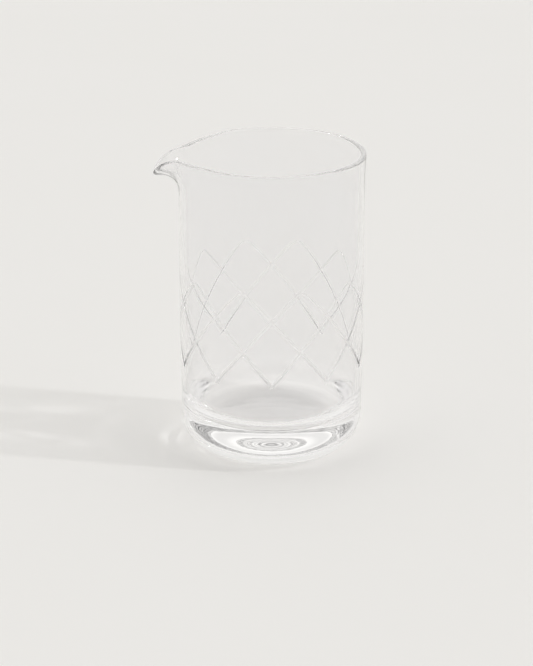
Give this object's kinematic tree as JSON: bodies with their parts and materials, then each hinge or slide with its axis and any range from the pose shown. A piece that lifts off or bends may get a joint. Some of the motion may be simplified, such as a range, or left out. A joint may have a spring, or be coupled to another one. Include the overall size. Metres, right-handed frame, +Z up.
{
  "type": "mixing glass",
  "caption": "Seamless clear mixing glass with a thick base, a beak spout at the rim and a cut diamond lattice around the wall.",
  "frame": {"origin": "middle of the foot, where the axis of the glass meets the surface it stands on", "axes": "+Z up along the axis of the glass, -X towards the spout, Y across the spout"},
  "size_m": [0.1027, 0.0908, 0.15],
  "materials": {
    "clear_glass": "clear, fire-polished rim, polished wheel-cut grooves"
  },
  "bodies": {
    "root": {"glass_vessel": "clear_glass"}
  },
  "joints": []
}
